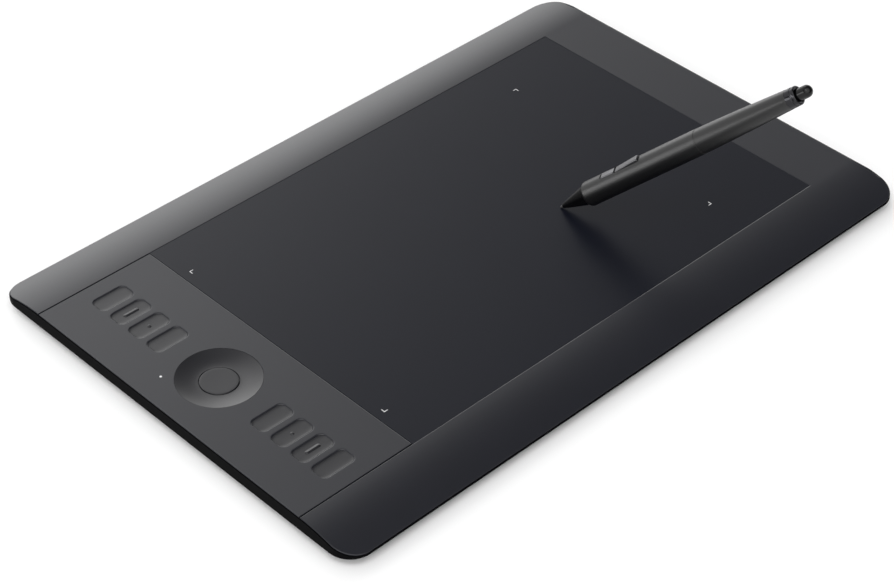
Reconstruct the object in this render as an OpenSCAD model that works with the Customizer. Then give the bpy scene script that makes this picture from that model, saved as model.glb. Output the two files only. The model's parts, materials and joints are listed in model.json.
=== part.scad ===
// Pen drawing tablet with its pen held over the drawing area, in millimetres.
// Origin: centre of the tablet on the surface it rests on.
// +X runs from the keys to the plain side panel, +Y is the edge away from the user, +Z is up.

/* [Case] */
// Length of the tablet along X
case_length = 380; // [360:1:400]
// Depth of the tablet along Y
case_depth = 250; // [240:1:260]
// Height of the flat top above the table
case_height = 12; // [12:0.1:14]
// Radius of the four corners in plan
corner_r = 12.5; // [10:0.5:16]
// Width of each long-edge rail that curves down from the flat top
rail_width = 31.6; // [28:0.1:34]
// Drop of the rail at its outer edge
rail_drop = 5.8; // [4.5:0.1:6]
// Width of the key panel
panel_width = 67.5; // [64:0.5:72]
// Length of the drawing sheet
sheet_length = 277.7; // [260:0.1:285]
// Depth of the sheet below the flat top
sheet_recess = 0.28; // [0.1:0.01:0.4]
// Radius of the roll along the plain side's upper edge
side_r = 3; // [1:0.1:4]

/* [Active area] */
// Length between the corner marks
active_length = 225; // [200:1:240]
// Depth between the corner marks
active_depth = 138.5; // [120:0.5:160]
// Shift of the active area along X
active_shift = -4.9; // [-10:0.1:0]
// Length of each arm of a corner mark
mark_arm = 2.3; // [1.5:0.1:4]
// Line width of a corner mark
mark_line = 0.5; // [0.4:0.1:1]

/* [Keys and touch ring] */
// Length of a key along X
key_length = 19.3; // [16:0.1:22]
// Width of a key along Y
key_width = 9.5; // [8:0.1:11]
// Corner radius of a key
key_r = 3; // [2:0.1:4]
// Distance between neighbouring keys
key_pitch = 13.7; // [13:0.1:15]
// Distance of the innermost keys from the ring's centre
key_first = 37.2; // [36:0.1:40]
// Depth of a key's face below the panel
key_dip = 0.5; // [0.2:0.05:0.7]
// Travel of a key and of the ring button
key_travel = 0.6; // [0.3:0.05:0.6]
// Outer radius of the touch ring
ring_r = 20.6; // [18:0.1:22]
// Radius of the button inside the touch ring
ring_button_r = 9.5; // [8:0.1:10]
// Depth of the touch ring's dish at the button
ring_dip = 1.35; // [0.5:0.05:1.6]

/* [Pen] */
// Length of the pen
pen_length = 157; // [150:0.5:160]
// Radius of the rubber grip
grip_r = 6.5; // [6:0.1:7]
// Radius at the rear of the barrel
barrel_end_r = 4.9; // [4.7:0.1:5.2]
// Angle of the pen above the table
pen_rise = 41.3; // [30:0.1:60]
// Heading of the pen in plan, from +X
pen_heading = -65.9; // [-90:0.1:-40]

/* [Hidden] */
$fn = 64;
gap = 0.15;                  // general clearance between neighbouring parts
eps = 0.01;

// Case levels and outlines
foot_h = 0.8;                // height of the floor above the table
floor_t = 1.5;
floor_z = foot_h + floor_t;
rim_z = 4.9;                 // where the flared underside meets the upright rim
flare = 7.5;                 // how far the underside tapers in below the rim
wall_t = 2.6;
lip = 0.6;                   // thickness of the cover where it lies on the rim
shell_t = 1.5;
rim_proud = 0.5;             // how far the rim stands out past the cover
half_x = case_length / 2;
half_y = case_depth / 2;
rail_y = half_y - rail_width;
roll_x = half_x - 0.9 * side_r;
rail_r = (pow(rail_width, 2) + pow(rail_drop, 2)) / (2 * rail_drop);

// Drawing area levels
panel_x = panel_width - half_x;
sheet_x = panel_x + sheet_length;
sheet_top = case_height - sheet_recess;
sheet_t = 0.82;
plate_top = sheet_top - sheet_t;
plate_z = plate_top - shell_t;
sensor_t = 1.2;
sensor_z = plate_z - 0.1 - sensor_t;
shield_t = 0.5;
shield_z = sensor_z - 0.1 - shield_t;
panel_t = 1.8;
panel_z = case_height - panel_t;
mark_led_h = 0.7;

// Key board levels
board_t = 1.2;
key_board_z = 5.4;
key_board_top = key_board_z + board_t;
switch_h = 1.3;
key_flange_z = 9;
key_flange_t = 0.9;
key_stem_z = key_board_top + switch_h + key_travel + 0.05;
keys_x = -156.6;
key_y = [for (i = [3:-1:0]) key_first + i * key_pitch, for (i = [0:3]) -key_first - i * key_pitch];
key_mark = ["none", "bar", "dot", "none", "none", "dot", "bar", "none"];
bar_length = 8.4;
bar_width = 1.3;
dot_r = 0.9;
relief = 0.4;                // height of the bars and dots
ring_z = 9.4;                // underside of the touch ring
ring_button_rise = 0.15;     // height of the ring's button above the dish around it
ring_board_t = 0.8;
ring_board_inner_r = ring_button_r + 1.3;
lens_r = 0.6;
lens_ring_r = 26.7;
panel_screw_spots = [for (x = [-180, -133], y = [-88, -30, 30, 88]) [x, y]];
case_screw_spots = [for (x = [-170, -60, 60, 170], y = [-108, 108]) [x, y]];
case_post_top = 7;
case_screw_r = 1.25;
case_head_r = 2.5;
case_head_z = [2, 3.4];
board_screw_r = 0.8;
board_screw_l = 4.4;

// Main board, battery and radio on the plain side
main_board_x = [142, 187];
main_board_y = [-25, 27];
main_board_z = 4.95;
main_board_top = main_board_z + board_t;
main_screw_spots = [for (x = [147, 180], y = [-21, 22.5]) [x, y]];
usb_size = [5.8, 7.6, 2.8];
usb_y = 12;
cover_x = 128;               // inner end of the two sliding covers
cover_t = 1.4;
battery_y = [-80, -32];
radio_y = [34, 58];
bay_wall = 1.2;
bay_top = 7.3;
bay_x = [cover_x + 2, 181];
battery_t = 4.5;
radio_t = 3.6;
foot_size = [40, 8];
foot_r = 3.9;
foot_spots = concat([[0, 0]], [for (x = [-140, 0, 140], y = [-101, 101]) [x, y]]);
foot_pocket = 0.4;
label_size = [64, 30];
label_x = -80;
label_t = 0.15;
rib_t = 1.2;
rib_y = [-87, -48, -22, 22, 48, 87];
flex_t = 0.25;
flex_z = 3.2;

// Pen stations along its axis, measured from the tip
nib_tip_r = 0.7;
pen_tip = [49.9, -19.3, sheet_top + nib_tip_r * (1 - sin(pen_rise)) + 0.02];
pen_roll = 188.5;            // turns the side switch to the pen's upper side
nib_r = 0.85;
nib_end = 23.5;
cone_s = [1.9, 18.6];
cone_tip_r = 1.15;
cone_base_r = 5.35;
spigot_end = 23.9;
coil_s = [10, 17.5];
tube_r = 5;
tube_bore_r = 4;
tube_s = 18.8;
grip_s = [18.7, 91.2];
barrel_end = 144.2;
ring_s = [barrel_end, 149.6];
chrome_r = 4.85;
eraser_r = 3.1;
eraser_bore_r = 3.3;
eraser_s = 142.5;
sensor_s = [24.4, 29.8];
pen_board_s = [31, 96];
pen_board_w = 5.8;
pen_board_x = -0.2;          // inner face of the pen's board, from the axis
switch_s = [32, 56.5];
switch_pivot_s = 41.2;
switch_pivot_x = 3.6;
switch_pin_r = 0.5;
switch_w = 4;
tact_s = [35, 50];

// ---- Plain shapes ----

module rounded_rect(size, r) {
    square([size[0] - 2 * r, size[1]], center = true);
    square([size[0], size[1] - 2 * r], center = true);
    for (x = [-1, 1], y = [-1, 1])
        translate([x * (size[0] / 2 - r), y * (size[1] / 2 - r)]) circle(r);
}

module slab(size, r, z0, z1) {
    translate([0, 0, z0]) linear_extrude(z1 - z0) rounded_rect(size, r);
}

// Box given by its range along each axis
module range_box(x, y, z) {
    translate([x[0], y[0], z[0]]) cube([x[1] - x[0], y[1] - y[0], z[1] - z[0]]);
}

module disc(r, z0, z1) {
    translate([0, 0, z0]) cylinder(h = z1 - z0, r = r);
}

module at_spots(spots) {
    for (p = spots) translate([p[0], p[1], 0]) children();
}

// Strip of even thickness along a path in the XZ plane, with the width along Y
module strip(path, y, t) {
    translate([0, y[1], 0]) rotate([90, 0, 0]) linear_extrude(y[1] - y[0])
        polygon(concat(path, [for (i = [len(path) - 1:-1:0]) path[i] + [0, t]]));
}

// ---- Case ----

// Everything below the top surface lowered by drop, with the rails' long curves
module under_rails(drop) {
    rotate([90, 0, 90]) linear_extrude(case_length + 2, center = true) {
        translate([-rail_y, -1]) square([2 * rail_y, case_height - drop + 1]);
        for (s = [-1, 1]) intersection() {
            translate([s * rail_y, case_height - rail_r - drop]) circle(rail_r, $fn = 360);
            translate([s > 0 ? rail_y : -half_y - 1, -1]) square([rail_width + 1, case_height + 1]);
        }
    }
}

// Everything below the roll along the plain side's upper edge, lowered by drop
module under_roll(drop) {
    roll_z = case_height - side_r - drop;
    rotate([90, 0, 0]) linear_extrude(case_depth + 2, center = true) {
        translate([-half_x - 1, -1]) square([half_x + 1 + roll_x, case_height - drop + 1]);
        translate([roll_x, -1]) square([side_r, roll_z + 1]);
        translate([roll_x, roll_z]) intersection() {
            circle(side_r);
            square(side_r);
        }
    }
}

module under_top(drop) {
    intersection() {
        under_rails(drop);
        under_roll(drop);
    }
}

// Flared underside between the floor and the rim, with cone-shaped corners
module flared_underside() {
    flare_h = rim_z - foot_h;
    section = function (half) [[flare - half, 0], [half - flare, 0], [half, flare_h], [-half, flare_h]];
    translate([0, 0, foot_h]) {
        rotate([90, 0, 0]) linear_extrude(case_depth - 2 * corner_r, center = true)
            polygon(section(half_x));
        rotate([90, 0, 90]) linear_extrude(case_length - 2 * corner_r, center = true)
            polygon(section(half_y));
        for (x = [-1, 1], y = [-1, 1])
            translate([x * (half_x - corner_r), y * (half_y - corner_r), 0])
                cylinder(h = flare_h, r1 = corner_r - flare, r2 = corner_r);
    }
}

module case_outside() {
    intersection() {
        union() {
            flared_underside();
            slab([case_length, case_depth], corner_r, rim_z, case_height);
        }
        under_top(lip + 0.03);
    }
}

module case_inside() {
    inset = flare - 1;
    slab([case_length - 2 * inset, case_depth - 2 * inset], corner_r - 4, floor_z, rim_z + eps);
    slab([case_length - 2 * wall_t, case_depth - 2 * wall_t], corner_r - wall_t, rim_z, case_height);
}

// Dovetailed slot of a sliding cover, open at the plain side's edge
module cover_slot(y, grow) {
    w = (y[1] - y[0]) / 2 + grow;
    translate([cover_x - grow, (y[0] + y[1]) / 2, 0]) rotate([90, 0, 90])
        linear_extrude(half_x - cover_x + 2 * grow + 1)
            polygon([[-w, 0], [w, 0], [w, foot_h], [w + 0.8, floor_z], [w + 0.8, rim_z],
                [-w - 0.8, rim_z], [-w - 0.8, floor_z], [-w, foot_h]]);
}

module bay_walls(y) {
    difference() {
        range_box(bay_x + [-bay_wall, bay_wall], y + [-bay_wall, bay_wall] + [-0.8, 0.8],
            [floor_z - eps, bay_top]);
        range_box(bay_x, y + [-0.8, 0.8], [0, bay_top + 1]);
    }
}

module bottom_case() {
    color("#141416") difference() {
        union() {
            difference() {
                case_outside();
                case_inside();
            }
            at_spots(case_screw_spots) disc(3.2, floor_z - eps, case_post_top);
            for (y = rib_y)
                range_box([-118, 124], [y - rib_t / 2, y + rib_t / 2], [floor_z - eps, shield_z]);
            bay_walls(battery_y);
            bay_walls(radio_y);
            at_spots(main_screw_spots) disc(2, floor_z - eps, main_board_z);
        }
        cover_slot(battery_y, gap);
        cover_slot(radio_y, gap);
        at_spots(case_screw_spots) {
            disc(1.5, 0, case_post_top + 1);
            disc(2.7, 0, case_head_z[1]);
        }
        at_spots(foot_spots) slab(foot_size, foot_r, foot_h - 1, foot_h + foot_pocket);
        translate([label_x, 0, 0]) slab(label_size, 2, 0, foot_h + 0.12);
        at_spots(main_screw_spots) disc(board_screw_r + 0.02, floor_z - 0.6, case_height);
        range_box([half_x - wall_t - 1, half_x + 1], [usb_y - 4, usb_y + 4],
            [main_board_top - 0.2, main_board_top + usb_size[2] + 0.2]);
    }
}

// Step that the key panel's long edge lies on
module panel_ledge(side) {
    top = panel_z - 0.05;
    mirror([0, side > 0 ? 0 : 1, 0]) {
        range_box([-184, panel_x], [rail_y - 1.4, rail_y + shell_t], [top - 1, top]);
        range_box([-184, panel_x], [rail_y, rail_y + shell_t], [top - 1, panel_z + 0.6]);
    }
}

module top_cover() {
    outline = [case_length - 2 * rim_proud, case_depth - 2 * rim_proud];
    inner = [case_length - 2 * wall_t - 0.4, case_depth - 2 * wall_t - 0.4];
    color("#5c5c5f") difference() {
        union() {
            difference() {
                intersection() {
                    slab(outline, corner_r - rim_proud, 4, case_height);
                    under_top(0);
                }
                under_top(shell_t);
                difference() {
                    under_top(lip);
                    slab(inner, corner_r - 3, 0, case_height);
                }
                range_box([-half_x - 1, sheet_x], [-rail_y, rail_y], [0, case_height + 1]);
            }
            range_box([panel_x + gap, sheet_x + shell_t], [-rail_y - shell_t, rail_y + shell_t],
                [plate_z, plate_top]);
            at_spots(case_screw_spots) disc(3.2, case_post_top, 9.9);
            for (s = [-1, 1]) panel_ledge(s);
        }
        at_spots(case_screw_spots) disc(case_screw_r + 0.02, 0, 9.4);
        at_spots(mark_spots()) slab([5, 5], 0.5, plate_z - 1, plate_top + 1);
    }
}

module rubber_feet() {
    color("#26262a") at_spots(foot_spots) slab(foot_size - [0.2, 0.2], foot_r - 0.1, 0, foot_h + foot_pocket);
}

module case_screws() {
    color("#8d9096") at_spots(case_screw_spots) difference() {
        union() {
            disc(case_head_r, case_head_z[0], case_head_z[1]);
            disc(case_screw_r, case_head_z[1], 9.2);
        }
        for (a = [0, 90]) rotate(a) translate([0, 0, case_head_z[0]]) cube([3, 0.6, 1.2], center = true);
    }
}

module rating_label() {
    color("#303034") translate([label_x, 0, 0])
        slab(label_size - [0.4, 0.4], 1.8, foot_h + 0.12 - label_t, foot_h + 0.12);
}

module sliding_cover(y) {
    color("#17171a") difference() {
        intersection() {
            case_outside();
            cover_slot(y, 0);
        }
        range_box([0, bay_x[1]], [y[0] - 2, y[1] + 2], [foot_h + cover_t, case_height]);
        // two shallow thumb grooves
        for (x = [148, 152]) translate([x, (y[0] + y[1]) / 2, foot_h])
            cube([1.2, 14, 0.7], center = true);
    }
}

module battery_cover() { sliding_cover(battery_y); }

module wireless_cover() { sliding_cover(radio_y); }

// ---- Drawing area ----

function mark_spots() = [for (x = [-1, 1], y = [-1, 1])
    [active_shift + x * (active_length / 2 - 1.2), y * (active_depth / 2 - 1.2)]];

// One L-shaped mark per corner, with its elbow at the corner
module marks(z0, z1) {
    for (x = [-1, 1], y = [-1, 1])
        translate([active_shift + x * active_length / 2, y * active_depth / 2, z0])
            mirror([x > 0 ? 1 : 0, 0, 0]) mirror([0, y > 0 ? 1 : 0, 0]) linear_extrude(z1 - z0) {
                square([mark_arm, mark_line]);
                square([mark_line, mark_arm]);
            }
}

module drawing_sheet() {
    color("#2f3035") difference() {
        range_box([panel_x + gap, sheet_x - gap], [gap - rail_y, rail_y - gap], [plate_top, sheet_top]);
        marks(plate_top - 1, case_height);
    }
}

module corner_marks() {
    color("white") marks(plate_top, sheet_top + 0.02);
}

module mark_leds() {
    color("#e8e6d8") at_spots(mark_spots())
        slab([1.6, 1.2], 0.2, plate_z - 0.1, plate_z - 0.1 + mark_led_h);
}

module sensor_board() {
    color("#1f5a3c") range_box([panel_x + 1.5, sheet_x - 1.2], [1.5 - rail_y, rail_y - 1.5],
        [sensor_z, sensor_z + sensor_t]);
}

module shield_plate() {
    color("#9a9ca0") range_box([panel_x + 2.5, sheet_x - 2.2], [2.5 - rail_y, rail_y - 2.5],
        [shield_z, shield_z + shield_t]);
}

// ---- Keys and touch ring ----

module at_ring() {
    translate([keys_x, 0, 0]) children();
}

function lens_spots() = [for (a = [45:90:315]) lens_ring_r * [cos(a), sin(a)]];

module key_panel() {
    color("#565658") difference() {
        union() {
            range_box([gap - half_x + wall_t, panel_x - gap], [0.3 - rail_y, rail_y - 0.3],
                [panel_z, case_height]);
            range_box([rim_proud - half_x, gap - half_x + wall_t], [0.3 - rail_y, rail_y - 0.3],
                [case_height - lip, case_height]);
            at_spots(panel_screw_spots) disc(2.2, key_board_top, panel_z + eps);
        }
        for (y = key_y) translate([keys_x, y, 0])
            slab([key_length + 2 * gap, key_width + 2 * gap], key_r + gap, panel_z - 1, case_height + 1);
        at_ring() disc(ring_r + 0.1, panel_z - 1, case_height + 1);
        at_ring() at_spots(lens_spots()) disc(lens_r, panel_z - 1, case_height + 1);
        at_spots(panel_screw_spots) disc(board_screw_r + 0.02, 0, panel_z);
    }
}

module touch_ring() {
    inner_r = ring_button_r + 0.25;
    dish = [for (t = [1:-0.125:0])
        [inner_r + (ring_r - inner_r) * t, case_height - ring_dip * (1 - pow(t, 1.7))]];
    color("#3a3a3d") at_ring() rotate_extrude()
        polygon(concat([[inner_r, ring_z], [ring_r, ring_z]], dish));
}

module ring_button() {
    top = case_height - ring_dip + ring_button_rise;
    color("#4c4c50") at_ring() {
        disc(ring_button_r, key_flange_z - eps, top);
        disc(ring_button_r + 0.8, 8.6, 9.2);
    }
}

module key_cap(i) {
    top = case_height - key_dip;
    color("#4d4d50") translate([keys_x, key_y[i], 0]) {
        slab([key_length, key_width], key_r, key_flange_z, top);
        slab([key_length + 2, key_width + 2], key_r + 1, key_flange_z, key_flange_z + key_flange_t);
        disc(1.5, key_stem_z, key_flange_z + eps);
        if (key_mark[i] == "bar") slab([bar_length, bar_width], bar_width / 2 - eps, top - eps, top + relief);
        if (key_mark[i] == "dot") disc(dot_r, top - eps, top + relief);
    }
}

module key_1() { key_cap(0); }
module key_2() { key_cap(1); }
module key_3() { key_cap(2); }
module key_4() { key_cap(3); }
module key_5() { key_cap(4); }
module key_6() { key_cap(5); }
module key_7() { key_cap(6); }
module key_8() { key_cap(7); }

module status_lens_lit() {
    color("white") at_ring() translate(lens_spots()[1]) disc(lens_r, 7.6, case_height);
}

module status_lenses_dark() {
    color("#505054") at_ring() at_spots([for (i = [0, 2, 3]) lens_spots()[i]])
        disc(lens_r, 7.6, case_height);
}

module status_leds() {
    color("#e8e6d8") at_ring() at_spots(lens_spots())
        slab([1.6, 0.9], 0.2, key_board_top, key_board_top + mark_led_h);
}

module key_board() {
    color("#1f5a3c") difference() {
        range_box([-185, -128], [-91, 91], [key_board_z, key_board_top]);
        at_spots(panel_screw_spots) disc(1, 0, case_height);
    }
}

module key_switches() {
    spots = concat([[keys_x, 0]], [for (y = key_y) [keys_x, y]]);
    color("#222226") at_spots(spots) {
        slab([5.2, 5.2], 0.5, key_board_top, key_board_top + 0.8);
        disc(1.6, key_board_top + 0.8 - eps, key_board_top + switch_h);
    }
}

module ring_sensor_board() {
    color("#23633f") at_ring() difference() {
        disc(ring_r - 1.2, ring_z - ring_board_t, ring_z);
        disc(ring_board_inner_r, 0, case_height);
    }
}

// Small screw pointing up, the underside of its head at zero
module board_screw() {
    disc(1.7, -0.8, 0);
    disc(board_screw_r, -eps, board_screw_l);
}

module board_screws() {
    color("#a3a6ab") {
        at_spots(panel_screw_spots) translate([0, 0, key_board_z]) board_screw();
        at_spots(main_screw_spots) translate([0, 0, main_board_top]) mirror([0, 0, 1]) board_screw();
    }
}

// ---- Electronics on the plain side ----

module main_board() {
    color("#1f5a3c") difference() {
        range_box(main_board_x, main_board_y, [main_board_z, main_board_top]);
        at_spots(main_screw_spots) disc(1, 0, case_height);
    }
}

module board_chips() {
    color("#1c1c1e") {
        translate([172, -10, 0]) slab([10, 10], 0.6, main_board_top, main_board_top + 1);
        translate([154, -12, 0]) slab([7, 7], 0.5, main_board_top, main_board_top + 0.9);
        translate([171, 22, 0]) slab([6, 4], 0.3, main_board_top, main_board_top + 1.1);
    }
}

module usb_port() {
    shell = 0.35;
    face = half_x - 0.6;
    color("#b4b7bc") difference() {
        translate([face - usb_size[0], usb_y - usb_size[1] / 2, main_board_top]) cube(usb_size);
        translate([face - usb_size[0] + 1, usb_y - usb_size[1] / 2 + shell, main_board_top + shell])
            cube([usb_size[0], usb_size[1] - 2 * shell, 0.75]);
        translate([face - usb_size[0] + 1, usb_y - usb_size[1] / 2 + shell, main_board_top + shell + 0.7])
            cube([usb_size[0], 1, usb_size[2] - 2 * shell - 0.7]);
        translate([face - usb_size[0] + 1, usb_y + usb_size[1] / 2 - shell - 1, main_board_top + shell + 0.7])
            cube([usb_size[0], 1, usb_size[2] - 2 * shell - 0.7]);
        translate([face - usb_size[0] + 1, usb_y - usb_size[1] / 2 + shell, main_board_top + 1.7])
            cube([usb_size[0], usb_size[1] - 2 * shell, 0.75]);
    }
}

// Ribbon from the key board to the main board, lying just above the floor
module key_flex() {
    color("#8a6a2f") strip([[-136, 4.3], [-133, 4.3], [-129, flex_z], [133, flex_z], [137, 3.7],
        [146, 3.7]], [-10, -2], flex_t);
}

module sensor_flex() {
    start = sheet_x - 1.2;
    color("#8a6a2f") strip([[start, 8.6], [158.5, 8.6], [161, 6.3], [162, 6.3]], [2, 18], flex_t);
}

module flex_connectors() {
    color("#e6e2d2") {
        range_box([-140, -136], [-11, -1], [4.2, key_board_z]);
        range_box([146, 150], [-11, -1], [3.6, main_board_z]);
        range_box([162, 166], [1, 19], [main_board_top, main_board_top + 1]);
    }
}

module battery_pack() {
    mid = (battery_y[0] + battery_y[1]) / 2;
    color("#3d4a5c") translate([(bay_x[0] + bay_x[1]) / 2 + 1, mid, 0])
        slab([44, 44], 1.5, floor_z + 0.1, floor_z + 0.1 + battery_t);
}

module battery_contacts() {
    mid = (battery_y[0] + battery_y[1]) / 2;
    color("#c9a54a") for (y = [-6, 0, 6])
        range_box([bay_x[0], bay_x[0] + 1], [mid + y - 1, mid + y + 1], [floor_z + 0.8, floor_z + 3.8]);
}

module wireless_module() {
    mid = (radio_y[0] + radio_y[1]) / 2;
    color("#24262b") translate([(bay_x[0] + bay_x[1]) / 2 + 1, mid, 0])
        slab([42, 20], 1.5, floor_z + 0.1, floor_z + 0.1 + radio_t);
}

// ---- Pen, drawn upright from its tip with the side switch towards +X ----

module pen_pose() {
    translate(pen_tip) rotate([0, 90 - pen_rise, pen_heading]) rotate(pen_roll) children();
}

// Tube whose outer wall follows [radius, station] points, with a straight bore
module turned_tube(points, bore) {
    ends = [points[0][1], points[len(points) - 1][1]];
    rotate_extrude() polygon(concat([[bore, ends[0]]], points, [[bore, ends[1]]]));
}

// Slot cut through the grip and the barrel for the side switch
module switch_slot(extra) {
    range_box([2, 9], [-switch_w / 2 - extra, switch_w / 2 + extra],
        [switch_s[0] - extra, switch_s[1] + extra]);
}

module pen_grip() {
    lip_points = [for (a = [0:15:90]) [grip_r - 0.9 + 0.9 * sin(a), grip_s[0] + 1.3 * (1 - cos(a))]];
    tail_points = [[grip_r, grip_s[1] - 0.25], [grip_r - 0.2, grip_s[1]]];
    color("#2c2c2f") pen_pose() difference() {
        turned_tube(concat(lip_points, tail_points), tube_r);
        switch_slot(0.3);
    }
}

module pen_barrel() {
    rear = [[tube_r, tube_s], [tube_r, grip_s[1] + 0.05], [6.33, grip_s[1] + 0.05], [6.3, 96], [6.05, 110],
        [5.65, 124], [5.2, 136], [barrel_end_r, barrel_end]];
    color("#303033") pen_pose() difference() {
        turned_tube(rear, tube_bore_r);
        switch_slot(0.2);
        translate([switch_pivot_x, 0, switch_pivot_s]) rotate([90, 0, 0])
            cylinder(h = 8, r = switch_pin_r + 0.05, center = true);
    }
}

module pen_cone() {
    color("#0b0b0d") pen_pose() rotate_extrude() polygon([[nib_r + gap, cone_s[0]],
        [cone_tip_r, cone_s[0]], [3.35, 10], [cone_base_r, cone_s[1]],
        [tube_bore_r, cone_s[1]], [tube_bore_r, spigot_end], [2.3, spigot_end], [2.3, coil_s[0] - 0.2],
        [nib_r + gap, coil_s[0] - 0.2]]);
}

module pen_nib() {
    color("#3a3a3d") pen_pose() {
        translate([0, 0, nib_tip_r]) sphere(nib_tip_r);
        translate([0, 0, nib_tip_r]) cylinder(h = 1, r1 = nib_tip_r, r2 = nib_r);
        disc(nib_r, nib_tip_r + 1 - eps, nib_end);
    }
}

module pen_coil() {
    color("#b06a3a") pen_pose() difference() {
        disc(2.2, coil_s[0], coil_s[1]);
        disc(1.15, 0, pen_length);
    }
}

module pen_pressure_sensor() {
    color("#9fa2a8") pen_pose() disc(tube_bore_r - 0.1, sensor_s[0], sensor_s[1]);
}

// Half-round carrier under the pen's board
module pen_chassis() {
    color("#37373b") pen_pose() difference() {
        intersection() {
            disc(tube_bore_r - 0.1, 30.2, 140);
            range_box([-5, pen_board_x], [-5, 5], [30, 141]);
        }
        range_box([-2, 1], [-1.5, 1.5], [34, 136]);
    }
}

module pen_board() {
    color("#1f5a3c") pen_pose() range_box([pen_board_x, pen_board_x + 1], [-pen_board_w / 2, pen_board_w / 2],
        pen_board_s);
}

module pen_tact_switches() {
    color("#222226") pen_pose() for (s = tact_s)
        range_box([pen_board_x + 1, 2.2], [-1.5, 1.5], [s - 1.5, s + 1.5]);
}

// Two-ended rocker on a cross pin, its rear end standing proud of the grip
module pen_switch() {
    side = [[4.6, switch_s[0]], [6.1, switch_s[0]], [6.45, switch_s[0] + 1.2], [6.35, switch_pivot_s - 0.3],
        [6.05, switch_pivot_s], [6.35, switch_pivot_s + 0.3], [7.1, switch_s[1] - 0.5],
        [6.9, switch_s[1]], [4.6, switch_s[1]]];
    color("#8b8d92") pen_pose() {
        translate([0, switch_w / 2, 0]) rotate([90, 0, 0]) linear_extrude(switch_w) polygon(side);
        for (s = tact_s) range_box([2.8, 4.7], [-0.8, 0.8], [s - 0.8, s + 0.8]);
        range_box([3, 4.7], [-1.4, 1.4], [switch_pivot_s - 0.9, switch_pivot_s + 0.9]);
        translate([switch_pivot_x, 0, switch_pivot_s]) rotate([90, 0, 0])
            cylinder(h = 5.4, r = switch_pin_r, center = true);
    }
}

module pen_ring() {
    color("#d5d7da") pen_pose() rotate_extrude() polygon([[eraser_bore_r, ring_s[0]],
        [chrome_r, ring_s[0]], [chrome_r, ring_s[1] - 0.6], [chrome_r - 0.3, ring_s[1]],
        [eraser_bore_r, ring_s[1]]]);
}

module pen_eraser() {
    color("#0c0c0e") pen_pose() {
        disc(eraser_r, eraser_s, pen_length - eraser_r);
        translate([0, 0, pen_length - eraser_r]) sphere(eraser_r);
    }
}

bottom_case();
top_cover();
key_panel();
touch_ring();
drawing_sheet();
corner_marks();
mark_leds();
status_lens_lit();
status_lenses_dark();
status_leds();
sensor_board();
shield_plate();
key_board();
key_switches();
ring_sensor_board();
main_board();
board_chips();
usb_port();
key_flex();
sensor_flex();
flex_connectors();
battery_pack();
battery_contacts();
wireless_module();
rubber_feet();
case_screws();
board_screws();
rating_label();
key_1();
key_2();
key_3();
key_4();
key_5();
key_6();
key_7();
key_8();
ring_button();
battery_cover();
wireless_cover();
pen_grip();
pen_barrel();
pen_cone();
pen_ring();
pen_chassis();
pen_board();
pen_coil();
pen_pressure_sensor();
pen_tact_switches();
pen_nib();
pen_switch();
pen_eraser();
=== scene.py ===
"""Looks of a pen drawing tablet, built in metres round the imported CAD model.

+X runs from the keys to the plain side panel, +Y is the edge away from the user, +Z is up.
Lengths in the shape sections are millimetres until to_metres or MM turns them into metres.
"""
import json
import math

import bpy
import bmesh
from mathutils import Matrix, Vector
from mathutils.geometry import delaunay_2d_cdt


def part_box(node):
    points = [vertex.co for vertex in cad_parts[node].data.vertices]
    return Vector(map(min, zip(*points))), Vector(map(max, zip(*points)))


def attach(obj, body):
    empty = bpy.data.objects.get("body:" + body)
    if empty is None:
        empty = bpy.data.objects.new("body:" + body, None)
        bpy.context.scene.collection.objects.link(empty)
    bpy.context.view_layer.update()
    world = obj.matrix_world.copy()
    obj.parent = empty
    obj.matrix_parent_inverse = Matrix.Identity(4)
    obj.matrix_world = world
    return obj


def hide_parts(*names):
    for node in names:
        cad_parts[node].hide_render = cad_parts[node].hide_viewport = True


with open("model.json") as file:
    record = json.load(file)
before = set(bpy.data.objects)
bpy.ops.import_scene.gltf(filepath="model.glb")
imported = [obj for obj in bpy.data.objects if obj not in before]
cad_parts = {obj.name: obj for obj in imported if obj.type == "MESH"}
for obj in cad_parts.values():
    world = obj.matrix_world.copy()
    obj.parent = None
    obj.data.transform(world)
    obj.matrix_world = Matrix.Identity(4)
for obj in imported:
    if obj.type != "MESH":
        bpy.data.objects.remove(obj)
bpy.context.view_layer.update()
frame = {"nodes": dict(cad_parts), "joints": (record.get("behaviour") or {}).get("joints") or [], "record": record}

MM = 0.001
NODES = frame["nodes"]
JOINTS = {j["name"]: j for j in frame["joints"]}


# ---------------------------------------------------------------- camera, floor and light

CAMERA_PLACE = Vector((-0.6545, -0.6526, 0.7400))
CAMERA_TARGET = Vector((-0.0378, -0.0278, 0.0120))
CAMERA_ROLL = math.radians(0.77)
CAMERA_LENS = 95.83
CAMERA_SENSOR = 36
CAMERA_REACH = (0.01, 60)

# The sky's brightness follows how far a direction leans towards a side: steps of (lean, brightness).
UP = Vector((0, 0, 1))
PLAIN_SIDE = Vector((1, 0, 0))
SWEEP_SIDE = Vector((-0.1, 0.955, 0.27))
SWEEP_STEPS = ((0.0, 0.13), (0.32, 0.24), (0.5, 0.34), (0.6, 0.66), (0.66, 0.9), (0.7, 1.4), (0.75, 2.6),
               (0.8, 2.6), (1.0, 2.8))
SWEEP_FADE = ((-0.05, 0.4), (0.4, 1.0))
HORIZON_SIDE = Vector((0.95, 0.31, 0))
HORIZON_SPAN = ((0.79, 0.0), (0.93, 1.0))
HORIZON_STEPS = ((0.0, 1.5), (0.2, 1.15), (0.5, 0.0))
FILL_SIDE = Vector((-0.5, -0.5, 0.707))
FILL_STEPS = ((0.5, 0.0), (0.75, 0.6), (1.0, 1.0))
FILL_LEVEL = 2.1

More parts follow.
